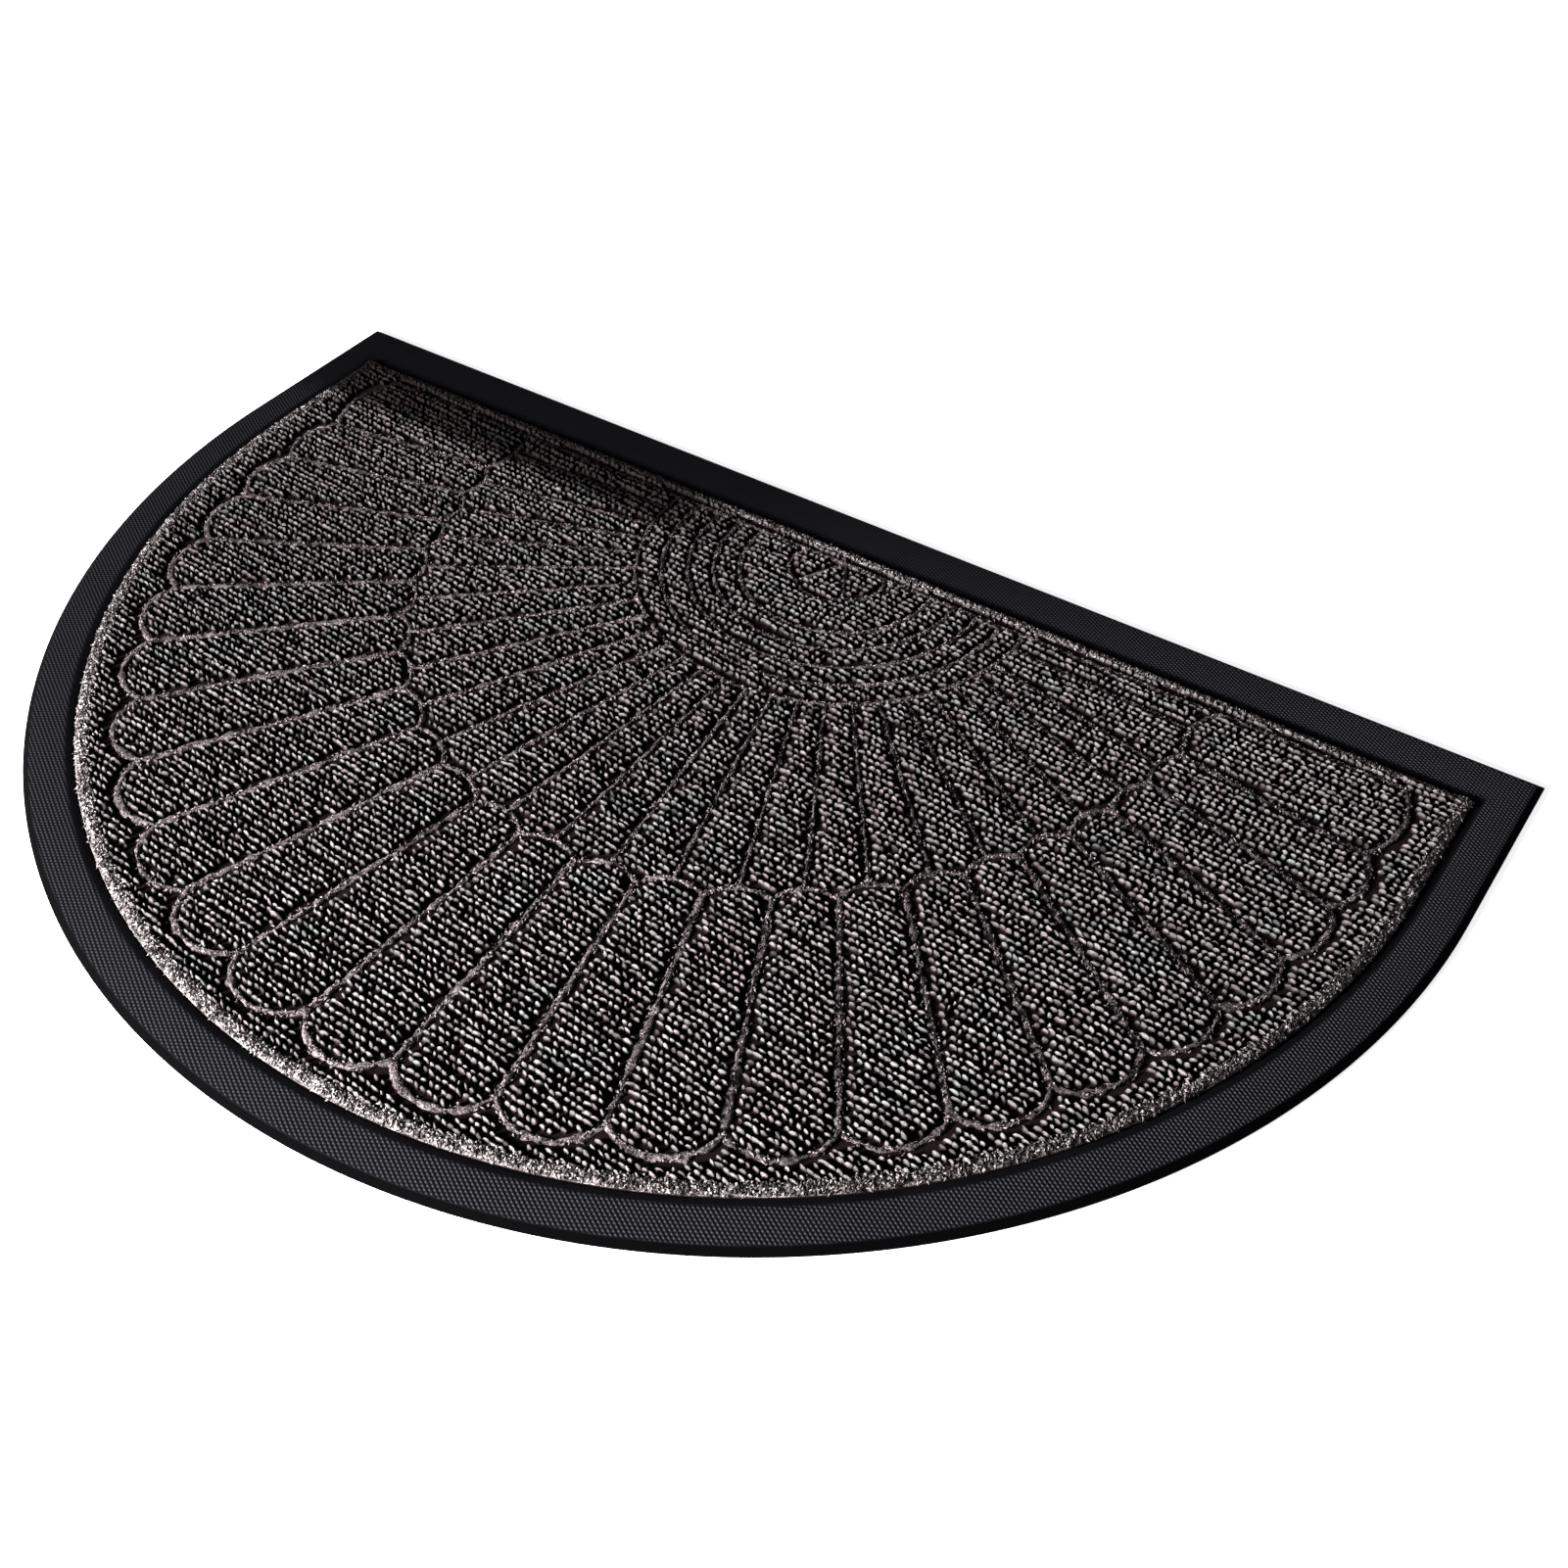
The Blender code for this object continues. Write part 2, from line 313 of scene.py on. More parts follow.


# Painted light on the grain's paler points: a painted shade makes them faint at the back of the left
# end, and their painted sheen grows stronger from left to right.
rubber_shade_start, rubber_shade_reach, rubber_most_shaded = 0.30, 0.40, 0.2
sheen_places, sheen_strengths = (-0.40, -0.10, 0.15, 0.30, 0.42), (0.55, 0.78, 1.0, 1.0, 1.25)

rings, grain, wall = rubber_rings()
points, faces = capped(rings, (0, 0, 0), (0, 0, tray_floor))
around, poles = rings.shape[1], [0, 0]
painted_light_share = painted_back_shade(points, rubber_shade_start, rubber_shade_reach, rubber_most_shaded)
# The grain measure carries painted light: the rim's grain times the painted shade and the painted
# sheen's strength.
rubber = add_piece(
    "moulded_base", points, faces, "rubber", "rubber_base",
    grain=np.append(np.repeat(grain, around), poles) * painted_light_share
    * np.interp(points[:, 0], sheen_places, sheen_strengths),
    wall=np.append(np.repeat(wall, around), poles),
)

# The raised points of the grain are painted a paler grey than the rubber: a painted sheen on them.
rubber_black = (0.0010, 0.0010, 0.0013, 1.0)
rubber_point_sheen = (0.0460, 0.0455, 0.0520, 1.0)
# The lip and the bevel are painted darker than the rim: a painted shade on the outer wall.
rubber_wall_shade = (0.0003, 0.0003, 0.0004, 1.0)
rim_roughness, wall_roughness = 0.46, 0.95
grain_pitch, grain_depth, grain_sharpness = 0.0025, 0.00034, 1.4
weak_wave, strong_wave = 0.6, 1.7
wave_range, wave_level = 4.5, 1 / 3

finish = Finish("black_rubber", Specular_IOR_Level=0.02)
x = finish.add("ShaderNodeSeparateXYZ", {}, {0: finish.place()})
y = Strand(finish, x.socket.node.outputs[1])

# Three waves, 60 degrees apart, add up to points in rows. One of them is strong and one is weak, so
# the points of a row nearly join.
wave = 2 * np.pi / (grain_pitch * np.sin(np.pi / 3))
half_wave, rising_wave = wave / 2, wave * np.sin(np.pi / 3)
points_up = (
    (x * wave).cosine() * weak_wave
    + (x * half_wave + y * rising_wave).cosine() * strong_wave
    + (x * half_wave - y * rising_wave).cosine()
) / wave_range + wave_level
textured = finish.measure("grain") * points_up ** grain_sharpness
mottle = finish.noise(0.0012, 3)
cloudy = finish.noise(0.06, 2).between(0.3, 0.7)
face = finish.mixed(rubber_black, rubber_point_sheen, textured * 0.90 + cloudy * 0.012 + mottle * 0.03)
outer = finish.measure("wall")
finish.dress(
    rubber,
    Base_Color=finish.mixed(face, rubber_wall_shade, outer),
    Roughness=(rim_roughness + mottle * 0.12).above(outer * wall_roughness),
    Normal=finish.bump(textured + mottle * 0.06, grain_depth),
)

# The carpet's backing
# The panel's needled backing, a dark felt cut to the tray's outline and laid in it. The pile and the
# pressed lines stand on it and hide nearly all of it.

cut_edge = rim + clearance
back_cut_edge = back_rim + clearance
ground_height = 0.0050
under_margin, face_margin = 0.0060, 0.0070
backing_profile = rounded(
    [
        (under_margin, carpet_low.z), (0.0, carpet_low.z),
        (0.0, ground_height), (face_margin, ground_height),
    ],
    [0.0002, 0.0008],
)


def carpet_edge(inset):
    """The carpet's outline at a distance inside its cut edge."""
    return outline(cut_edge + inset, back_cut_edge + inset)


def backing_rings():
    """Rings of the backing: the panel's outline at the profile's insets, between rings that shrink to
    the middle of its back and of its face."""
    rings = [np.insert(carpet_edge(inset), 2, height, axis=1) for inset, height in backing_profile]
    shrinking = np.array([0.2, 0.5, 0.8])[:, None, None]
    under, over = rings[0] * shrinking, rings[-1] * shrinking[::-1]
    under[..., 2], over[..., 2] = carpet_low.z, ground_height
    return np.concatenate([under, rings, over])


points, faces = capped(backing_rings(), (0, 0, carpet_low.z), (0, 0, ground_height))
backing = add_piece("carpet_backing", points, faces, "carpet", "carpet_panel")

felt_dark = (0.0040, 0.0018, 0.0019, 1)
felt_pale = (0.0140, 0.0075, 0.0080, 1)
felt_depth = 0.0004
finish = Finish("dark_backing", Roughness=0.95, Specular_IOR_Level=0.04)
felt = finish.noise(0.0006, 3)
finish.dress(
    backing,
    Base_Color=finish.mixed(felt_dark, felt_pale, felt.between(0.4, 0.8)),
    Normal=finish.bump(felt, felt_depth),
)

# The pressed lines
# A hot die fuses the pile along the lines of the fan: the sides and rounded ends of the petals, the
# arches at their feet, the rays, and the half-round bands. Each line is a flat, paler, welded ridge.

fan_inset, fan_top = 0.061, 0.008
fan_y = back_edge - fan_inset
petals, petal_pitch = 25, np.radians(7.1)
petal_inset = 0.067
ring_half_width, ring_depth = 0.265, 0.309
arch_rise = 0.007
scallop_side, scallop_front = 0.010, 0.019
band_first, band_pitch, band_count = 0.065, 0.017, 5
rosette_radius, rosette_lobe, lobe_count = 0.030, 0.009, 3
line_spacing = 0.0018


def fan_point(angle, distance):
    """The point at an angle from straight down the mat, and at a distance from the fan's centre."""
    return np.stack([distance * np.sin(angle), fan_y - distance * np.cos(angle)], -1)


def ring_distance(angle):
    """The ring between rays and petals, seen from the fan's centre: an ellipse."""
    return 1 / np.hypot(np.sin(angle) / ring_half_width, np.cos(angle) / ring_depth)


def tip_distance(angle):
    """The petals' outer corners, seen from the fan's centre: they lie on an inner copy of the outline,
    on its straight side or else where the line at that angle cuts the ellipse."""
    half, deep, drop = mat_half - petal_inset, curve_depth - petal_inset, fan_y - curve_start
    sine, cosine = np.abs(np.sin(angle)), np.cos(angle)
    a = (sine / half) ** 2 + (cosine / deep) ** 2
    b = drop * cosine / deep ** 2
    c = (drop / deep) ** 2 - 1
    return np.where(half / sine * cosine < drop, half / sine, (b + np.sqrt(b ** 2 - a * c)) / a)


def straight(start, end):
    """Straight lines from each start to its end, as [line, step, xy]."""
    steps = int(np.linalg.norm(end - start, axis=1).max() / line_spacing) + 2
    share = np.linspace(0, 1, steps)[None, :, None]
    return start[:, None] * (1 - share) + end[:, None] * share


def bowed(start, end, rise):
    """Round arcs from each start to its end that stand out to the right by the rise, where the radius
    is (half chord squared + rise squared) / (2 rise), as [line, step, xy]."""
    half = np.linalg.norm(end - start, axis=1) / 2
    along = (end - start) / (2 * half)[:, None]
    right = np.stack([along[:, 1], -along[:, 0]], 1)
    radius = (half ** 2 + rise ** 2) / (2 * rise)
    opening = 2 * np.arctan2(rise, half)
    steps = int((2 * np.abs(opening * radius)).max() / line_spacing) + 2
    angle = (opening[:, None] * np.linspace(-1, 1, steps))[..., None]
    middle = (start + end) / 2 - right * (radius - rise)[:, None]
    swing = np.sin(angle) * along[:, None] + np.cos(angle) * right[:, None]
    return middle[:, None] + radius[:, None, None] * swing


inner = (np.arange(petals - 1) - (petals - 2) / 2) * petal_pitch
top_y, corner_x = fan_y + fan_top, mat_half - petal_inset
inner_feet = fan_point(inner, ring_distance(inner))
inner_tips = fan_point(inner, tip_distance(inner))
feet = np.vstack([[-ring_half_width, top_y], inner_feet, [ring_half_width, top_y]])
tips = np.vstack([[-corner_x, top_y], inner_tips, [corner_x, top_y]])

middles = (tips[1:] + tips[:-1]) / 2 - (0, fan_y)
forward = middles[:, 1] ** 2 / (middles ** 2).sum(1)
scallops = bowed(tips[:-1], tips[1:], scallop_side + (scallop_front - scallop_side) * forward)
arches = bowed(feet[:-1], feet[1:], np.full(petals, -arch_rise))
petal_sides = straight(feet[1:-1], tips[1:-1])

arch_tops = arches[:, arches.shape[1] // 2]
toward = arch_tops - (0, fan_y)
outer_band = band_first + band_pitch * (band_count - 1)
ray_feet = toward / np.linalg.norm(toward, axis=1)[:, None] * outer_band + (0, fan_y)
rays = straight(ray_feet, arch_tops)

band_radii = band_first + band_pitch * np.arange(band_count)
band_ends = np.pi / 2 + np.arcsin(fan_top / band_radii)
band_share = np.linspace(-1, 1, int(np.pi * outer_band / line_spacing))
bands = fan_point(band_ends[:, None] * band_share, band_radii[:, None])

back_line = straight(tips[:1], tips[-1:])

rosette_end = np.pi / 2 + np.arcsin(fan_top / rosette_radius)
rosette_tips = fan_point(np.linspace(-rosette_end, rosette_end, lobe_count + 1), rosette_radius)
rosette_lobes = bowed(rosette_tips[:-1], rosette_tips[1:], np.full(lobe_count, rosette_lobe))
rosette_spokes = straight(np.tile([[0.0, top_y]], (lobe_count + 1, 1)), rosette_tips)

# Across a line: the offset as a share of half its width, and the height as a share of its crown.
line_profile = np.array([
    (-1.0, -1.5), (-0.92, 0.25), (-0.55, 0.92), (0.0, 0.8),
    (0.55, 0.92), (0.92, 0.25), (1.0, -1.5), (0.0, -1.5),
])
line_height, line_crown = 0.0055, 0.0009
place_waver, width_waver, height_waver = 0.00028, 0.32, 0.00026
place_steps, width_steps, height_steps = 9, 4, 6
narrowest, edge_rough, top_rough = 0.35, 0.12, 0.00020
random = np.random.default_rng(seed=11)


def uneven(shape, smooth):
    """Random values about 0 that vary softly along their last axis: white noise averaged over
    `smooth` steps with a bell-shaped weight, and scaled to a spread of 1."""
    window = np.hanning(smooth + 2)[1:-1]
    rough = random.normal(size=(*shape[:-1], shape[-1] + smooth - 1))
    soft = np.apply_along_axis(np.convolve, -1, rough, window, "valid")
    return soft / np.sqrt((window ** 2).sum())


def leftward(lines):
    """The unit way to the left of lines at each of their points: along the line, turned square."""
    along = np.gradient(lines, axis=1)
    along /= np.linalg.norm(along, axis=-1, keepdims=True)
    return np.stack([-along[..., 1], along[..., 0]], -1)


def ridges(lines, half_width, height=line_height):
    """Closed ridges along lines given as [line, step, xy]: the profile is carried square to each line,
    and its width, its height and its place waver softly along the way."""
    shape = lines.shape[:2]
    count, steps = shape
    sides = len(line_profile)
    offset, rise = line_profile.T
    left = leftward(lines)
    lines = lines + left * (uneven(shape, place_steps) * place_waver)[..., None]
    width = half_width * (1 + width_waver * uneven(shape, width_steps)).clip(narrowest)
    across = width[..., None] * (offset + edge_rough * random.normal(size=(*shape, sides)))
    level = height + height_waver * uneven(shape, height_steps)
    tall = level[..., None] + line_crown * rise + top_rough * random.normal(size=(*shape, sides))
    flat = lines[:, :, None] + left[:, :, None] * across[..., None]
    points = np.concatenate([flat, tall[..., None]], -1)
    size = steps * sides
    faces = np.concatenate([ring_faces(steps, sides, k * size) for k in range(count)])
    ends = np.arange(count)[:, None] * size + np.arange(sides)
    return points.reshape(-1, 3), [faces[:, ::-1], ends, (ends + size - sides)[:, ::-1]]


def together(*parts):
    """Several sets of points and faces as one."""
    points = np.vstack([part[0] for part in parts])
    starts = np.cumsum([0] + [len(part[0]) for part in parts[:-1]])
    faces = [kind + start for part, start in zip(parts, starts) for kind in part[1]]
    return points, faces


# Painted shade and light on the fibre: a painted shade darkens it in a strip along the back, and it is
# painted lighter to the front and to the right, as a painted fall of light. Each pair holds places and
# the tones there.
fibre_shade_start, fibre_shade_reach, fibre_most_shaded = -0.05, 0.08, 0.02
light_front_to_back = (-0.20, 0.05), (1.16, 0.84)
light_left_to_right = (-0.30, 0.10, 0.38), (0.90, 1.0, 1.16)


def add_fibre(name, points, faces, shade, **measures):
    """A piece of the carpet whose points have a shade: their own one, times the painted shade and light
    at their place."""
    shade = shade * painted_back_shade(points, fibre_shade_start, fibre_shade_reach, fibre_most_shaded)
    shade = shade * np.interp(points[:, 1], *light_front_to_back)
    shade = shade * np.interp(points[:, 0], *light_left_to_right)
    return add_piece(name, points, faces, "carpet", "carpet_panel", shade=shade, **measures)


weld_shade, weld_least, weld_most = (0.54, 0.34), 0.03, 1.4
# A painted shadow on the pressed fibre: from the start it darkens by the loss over the reach towards
# the right.
weld_shadow_start, weld_shadow_reach, weld_shadow_loss = 0.02, 0.30, 0.45


def welded(points):
    """The shade of hard-pressed fibre at points: uneven, and with a painted shadow that darkens it
    towards the right end.
    """
    painted_shadow_rightward = np.clip((points[:, 0] - weld_shadow_start) / weld_shadow_reach, 0, 1)
    shade = random.normal(*weld_shade, len(points)).clip(weld_least, weld_most)
    return shade * (1 - weld_shadow_loss * painted_shadow_rightward)


def add_lines(name, *parts):
    """A piece of pressed lines, each point with its own shade."""
    points, faces = together(*parts)
    return add_fibre(name, points, faces, welded(points))


# Half the width of the ridges, from the petals' sides to the finest lines.
side_half, scallop_half, arch_half, fine_half = 0.0018, 0.0017, 0.0013, 0.0010
scallop_height = 0.0057

petal_lines = add_lines(
    "petal_lines", ridges(petal_sides, side_half), ridges(arches, arch_half),
    ridges(scallops, scallop_half, scallop_height),
)
ray_lines = add_lines("ray_lines", ridges(rays, fine_half))
band_lines = add_lines(
    "band_lines", ridges(bands, fine_half), ridges(back_line, arch_half),
    ridges(rosette_lobes, fine_half), ridges(rosette_spokes, fine_half),
)


def line_marks(lines, half_width, clear_left, clear_right):
    """Points of lines with the way to their left, half the width pressed there, and how wide each
    side is kept clear of loops."""
    widths = np.broadcast_to([half_width, clear_left, clear_right], (*lines.shape[:2], 3))
    return np.concatenate([lines, leftward(lines), widths], -1).reshape(-1, 7)


# For each kind of line: half the width pressed, and the width kept clear to its left and right.
marks = np.vstack([
    line_marks(petal_sides, 0.0022, 0.0038, 0.0038),
    line_marks(rays, 0.0014, 0.0031, 0.0031),
    line_marks(arches, 0.0015, 0.0030, 0.0044),
    line_marks(scallops, 0.0019, 0.0030, 0.0056),
    line_marks(bands, 0.0013, 0.0031, 0.0031),
    line_marks(back_line, 0.0014, 0.0029, 0.0029),
    line_marks(rosette_lobes, 0.0010, 0.0023, 0.0023),
    line_marks(rosette_spokes, 0.0010, 0.0023, 0.0023),
])

grain_tilt = 0.00022
grain_shade_bend, grain_shade_most = 1.6, 1.8


def grains(middle, way, base, long, wide, tall):
    """Short grains of fibre: flat four-sided beads, each at its place, lying its way, with its own
    length, width, height and shade."""
    count = len(middle)
    cross = np.stack([-way[:, 1], way[:, 0]], 1)
    long = random.uniform(*long, count)[:, None]
    wide = random.uniform(*wide, count)[:, None]
    corners = [way * long, cross * wide, -way * long, -cross * wide]
    low = np.stack([np.column_stack([middle + corner, base]) for corner in corners], 1)
    low[:, [0, 2], 2] += random.normal(0, grain_tilt, (count, 2))
    top = np.column_stack([middle, base + random.uniform(*tall, count)])[:, None]
    points = np.concatenate([low, top], 1)
    size = points.shape[1]
    first = (np.arange(count) * size)[:, None, None]
    side = np.array([(0, 1, 4), (1, 2, 4), (2, 3, 4), (3, 0, 4)])
    faces = [(first + side).reshape(-1, 3), first[:, 0] + np.array([3, 2, 1, 0])]
    shade = random.uniform(0.0, 1.0, count) ** grain_shade_bend * grain_shade_most
    return points.reshape(-1, 3), faces, np.repeat(shade, size)


line_fibre_count = 15000
line_fibre_spread, line_fibre_slip, line_fibre_turn = 0.80, 0.001, 0.60
line_fibre_base, line_fibre_fall = 0.0060, 0.0003
line_fibre_sizes = (0.0009, 0.0024), (0.0004, 0.0008), (0.0005, 0.0016)


def line_fibres(count):
    """Grains along the pressed lines: most of them lie along their line, and some past its edges,
    where they sink with the square of how far out they are."""
    chosen = marks[random.integers(0, len(marks), count)]
    left, half_width = chosen[:, 2:4], chosen[:, 4]
    along = np.stack([left[:, 1], -left[:, 0]], 1)
    across = random.normal(0.0, line_fibre_spread, count) * half_width
    slip = random.uniform(-line_fibre_slip, line_fibre_slip, (count, 1))
    middle = chosen[:, :2] + left * across[:, None] + along * slip
    turn = random.normal(0, line_fibre_turn, count)[:, None]
    way = along * np.cos(turn) + left * np.sin(turn)
    base = line_fibre_base - line_fibre_fall * (across / half_width) ** 2
    return grains(middle, way, base, *line_fibre_sizes)


lint = add_fibre("line_fibres", *line_fibres(line_fibre_count))

weld_dark = (0.004, 0.0022, 0.0024, 1)
weld_pale = (0.245, 0.203, 0.206, 1)
weld_depth = 0.0006
finish = Finish("welded_fibre", Roughness=0.85, Specular_IOR_Level=0.08)
flecks = finish.noise(0.0009, 3)
patches = finish.noise(0.012, 2)
light = flecks.between(0.30, 0.62) * finish.measure("shade") * (patches * 1.6 + 0.2)
finish.dress(
    petal_lines, ray_lines, band_lines, lint,
    Base_Color=finish.mixed(weld_dark, weld_pale, light),
    Normal=finish.bump(flecks, weld_depth),
)

# The pile
# Rows of looped yarn, needled through the backing across the width of the mat, each loop a small bead
# that leans a little along its row. The loops are pale at their tops and painted nearly black lower
# down: a painted shade between them.

loop_pitch, row_pitch, row_tilt = 0.0046, 0.0047, np.radians(-3.5)
laid_half_depth, laid_half_width = 0.42, 0.52
row_shift = 0.12, 0.16
row_waver, row_waver_steps = 0.00042, 9
jitter_along, jitter_across = 0.00040, 0.00022


def loop_spots():
    """Places of all loops: rows across the mat, each shifted along itself by a share of the pitch that
    drifts from row to row, with a soft waver and a little jitter, and all turned by the rows' tilt."""
    rows, count = int(laid_half_depth / row_pitch), int(laid_half_width / loop_pitch)
    row, step = np.meshgrid(np.arange(-rows, rows), np.arange(-count, count), indexing="ij")
    shift = np.cumsum(random.normal(*row_shift, 2 * rows))[:, None]
    u = (step + shift) * loop_pitch + random.normal(0, jitter_along, row.shape)
    waver = uneven(row.shape, row_waver_steps) * row_waver
    v = row * row_pitch + waver + random.normal(0, jitter_across, row.shape)
    turned = np.array([[np.cos(row_tilt), np.sin(row_tilt)], [-np.sin(row_tilt), np.cos(row_tilt)]])
    return np.stack([u.ravel(), v.ravel()], 1) @ turned


spots_at_once = 800


def nearest(spots, marks):
    """For each spot, the number of the nearest mark and how far it is."""
    number, distance = [], []
    for part in np.array_split(spots, len(spots) // spots_at_once + 1):
        apart = ((part[:, None] - marks[None]) ** 2).sum(-1)
        number.append(apart.argmin(1))
        distance.append(np.sqrt(apart.min(1)))
    return np.concatenate(number), np.concatenate(distance)


def inside(spots, side_inset, back_inset):
    """Which spots lie inside the outline at an inset: in front of its back, and inside its ellipse
    or, above the ellipse's middle, between its sides."""
    half, deep = mat_half - side_inset, curve_depth - side_inset
    below = np.minimum(spots[:, 1] - curve_start, 0)
    in_curve = (spots[:, 0] / half) ** 2 + (below / deep) ** 2 < 1
    return (spots[:, 1] < back_edge - back_inset) & in_curve


strip_width, back_strip_width = 0.0070, 0.0045
spots = loop_spots()
spots = spots[inside(spots, cut_edge + strip_width, back_cut_edge + back_strip_width)]
number, distance = nearest(spots, marks[:, :2])
side = ((spots - marks[number, :2]) * marks[number, 2:4]).sum(1)
clear = np.where(side > 0, marks[number, 5], marks[number, 6])
spots, margin = spots[distance > clear], (distance - clear)[distance > clear]

loop_foot, loop_top, top_spread = 0.0046, 0.0090, 0.09
bank_width, bank_low, bank_rise = 0.0060, 0.80, 0.20

# A bead's outline has this reach, as a share of its half length and half width, at these levels.
loop_sides = 7
loop_levels = np.array([0.0, 0.58, 0.87])
loop_length = np.array([1.0, 0.92, 0.62])
loop_width = np.array([1.0, 0.84, 0.50])
loop_rough = 0.16

# The mean and the spread of what differs from bead to bead.
bead_turn = np.radians(-8), np.radians(11)
bead_length = 0.00246, 0.00055
bead_width = 0.00107, 0.00020
bead_lean = 0.00028, 0.00022
bead_roll = -0.00010, 0.00020
bead_shade, shade_least, shade_most = (0.62, 0.20), 0.12, 0.98


def beads(spots, margin):
    """Closed beads at spots: a bead's outline at a level is an ellipse, shrunk by the reach at that
    level, turned with its row and shifted by its lean, and its top is one point. Beads are lower next
    to a pressed line, and rise away from it over a quarter of a sine wave."""
    count = len(spots)
    around = np.linspace(0, 2 * np.pi, loop_sides, endpoint=False)
    levels = loop_levels[None, :, None]
    turn = random.normal(*bead_turn, count)[:, None, None]
    length = random.normal(*bead_length, count)[:, None, None]
    width = random.normal(*bead_width, count)[:, None, None]
    rough = 1 + loop_rough * random.normal(size=(count, len(loop_levels), loop_sides))
    a = length * loop_length[None, :, None] * rough * np.cos(around)
    b = width * loop_width[None, :, None] * rough * np.sin(around)
    lean = random.normal(*bead_lean, (count, 1, 1)) * levels
    rolled = random.normal(*bead_roll, (count, 1, 1)) * levels
    x = spots[:, 0, None, None] + a * np.cos(turn) - b * np.sin(turn) + lean
    y = spots[:, 1, None, None] + a * np.sin(turn) + b * np.cos(turn) + rolled
    bank = bank_low + bank_rise * np.sin(np.clip(margin / bank_width, 0, 1) * np.pi / 2)
    tall = (loop_top - loop_foot) * bank * random.normal(1, top_spread, count)
    z = loop_foot + tall[:, None, None] * np.broadcast_to(levels, x.shape)
    body = np.stack([x, y, z], -1).reshape(count, -1, 3)
    tops = np.stack([x[:, -1].mean(1), y[:, -1].mean(1), loop_foot + tall], -1)
    points = np.concatenate([body, tops[:, None]], 1)
    size = points.shape[1]
    first = (np.arange(count) * size)[:, None, None]
    walls = (first + ring_faces(len(loop_levels), loop_sides)).reshape(-1, 4)
    step = np.arange(loop_sides)
    last = (len(loop_levels) - 1) * loop_sides
    cap = np.stack([last + step, last + (step + 1) % loop_sides, np.full(loop_sides, size - 1)], 1)
    caps = (first + cap).reshape(-1, 3)
    soles = first[:, 0] + step[::-1]
    level = np.append(np.repeat(loop_levels, loop_sides), 1.0)
    shade = np.clip(random.normal(*bead_shade, count), shade_least, shade_most)
    return points.reshape(-1, 3), [walls, caps, soles], np.tile(level, count), np.repeat(shade, size)


petal_reach, petal_back = 0.006, 0.040
angle = np.arctan2(spots[:, 0], fan_y - spots[:, 1])
away = np.hypot(spots[:, 0], spots[:, 1] - fan_y)
on_left = spots[:, 0] < 0
in_rays = away < ring_distance(np.clip(angle, -np.pi / 2, np.pi / 2))
in_petals = ~in_rays & inside(spots, petal_inset - petal_reach, petal_back)
piles = []
for name, chosen in [
    ("pile_rays_left", in_rays & on_left),
    ("pile_rays_right", in_rays & ~on_left),
    ("pile_petals_left", in_petals & on_left),
    ("pile_petals_right", in_petals & ~on_left),
    ("pile_border", ~in_rays & ~in_petals),
]:
    points, faces, level, shade = beads(spots[chosen], margin[chosen])
    piles.append(add_fibre(name, points, faces, shade, level=level))

# The yarn differs in soft patches, from warm to cool. Each patch has its own painted shade, nearly
# black, which the level up each bead mixes in towards the loop's foot.
warm_pale, cool_pale = (0.168, 0.147, 0.148, 1), (0.147, 0.152, 0.146, 1)
warm_shade, cool_shade = (0.0082, 0.0044, 0.0048, 1), (0.0022, 0.0024, 0.0022, 1)
yarn_patch, yarn_depth = 0.03, 0.0005
fibre_long, fibre_wide, fibre_tall, fibre_turn = 0.0022, 0.00055, 0.0012, np.radians(-25)
finish = Finish("looped_yarn", Roughness=0.8, Specular_IOR_Level=0.08)
level, shade = finish.measure("level"), finish.measure("shade")
fibres = finish.noise(1.0, 2, finish.stretched(fibre_long, fibre_wide, fibre_tall, fibre_turn))
tone = finish.noise(yarn_patch, 2).between(0.42, 0.74)
lit = level.between(0.30, 1.0) * shade * (fibres * 2.4 - 0.2).above(0.0)
pale = finish.mixed(warm_pale, cool_pale, tone)
deep = finish.mixed(warm_shade, cool_shade, tone)
finish.dress(
    *piles,
    Base_Color=finish.mixed(deep, pale, lit),
    Normal=finish.bump(fibres, yarn_depth),
)

# The pressed edge
# The cut edge of the panel, pressed flat and paler along the rubber, with short loose fibres on it. The
# strip is widest along the sides and the front, and thin along the back.

# Inset and height of each corner, from the foot of the cut edge over the strip to the backing.
edge_profile = rounded(
    [
        (0.0010, ground_height), (0.0, ground_height), (0.0, 0.0058),
        (0.0024, 0.0071), (0.0066, 0.0074), (0.0082, ground_height),
    ],
    [0.0002, 0.0004, 0.0012, 0.0010],
    steps=3,
)
edge_roughness = 0.00013


def edge_strip():
    """The pressed strip: its profile carried round the carpet's outline, closed under it, with the
    insets along the back in proportion to the strip's width there, and with a rough surface."""
    rings = []
    for inset, height in edge_profile:
        across = outline(cut_edge + inset, back_cut_edge + inset * back_strip_width / strip_width)
        rings.append(np.insert(across, 2, height, axis=1))
    rings = np.array(rings)
    count, around = rings.shape[:2]
    rough = random.normal(size=(count, around))
    rings[2:-1, :, 2] += edge_roughness * rough[2:-1]
    last = np.arange(around)
    after = (last + 1) % around
    close = np.stack([(count - 1) * around + last, (count - 1) * around + after, after, last], 1)
    return rings.reshape(-1, 3), [ring_faces(count, around), close]


points, faces = edge_strip()
edge = add_fibre("pressed_edge", points, faces, welded(points))

edge_fibre_count = 12000
edge_fibre_first, edge_fibre_stray = 0.0004, 0.0009
edge_fibre_turn = np.pi / 2, 1.2
edge_fibre_base, edge_fibre_rise, edge_fibre_slope = 0.0057, 0.0013, 0.003
edge_fibre_sizes = (0.0010, 0.0025), (0.0005, 0.0009), (0.0006, 0.0018)
edge_fibre_gain = 2


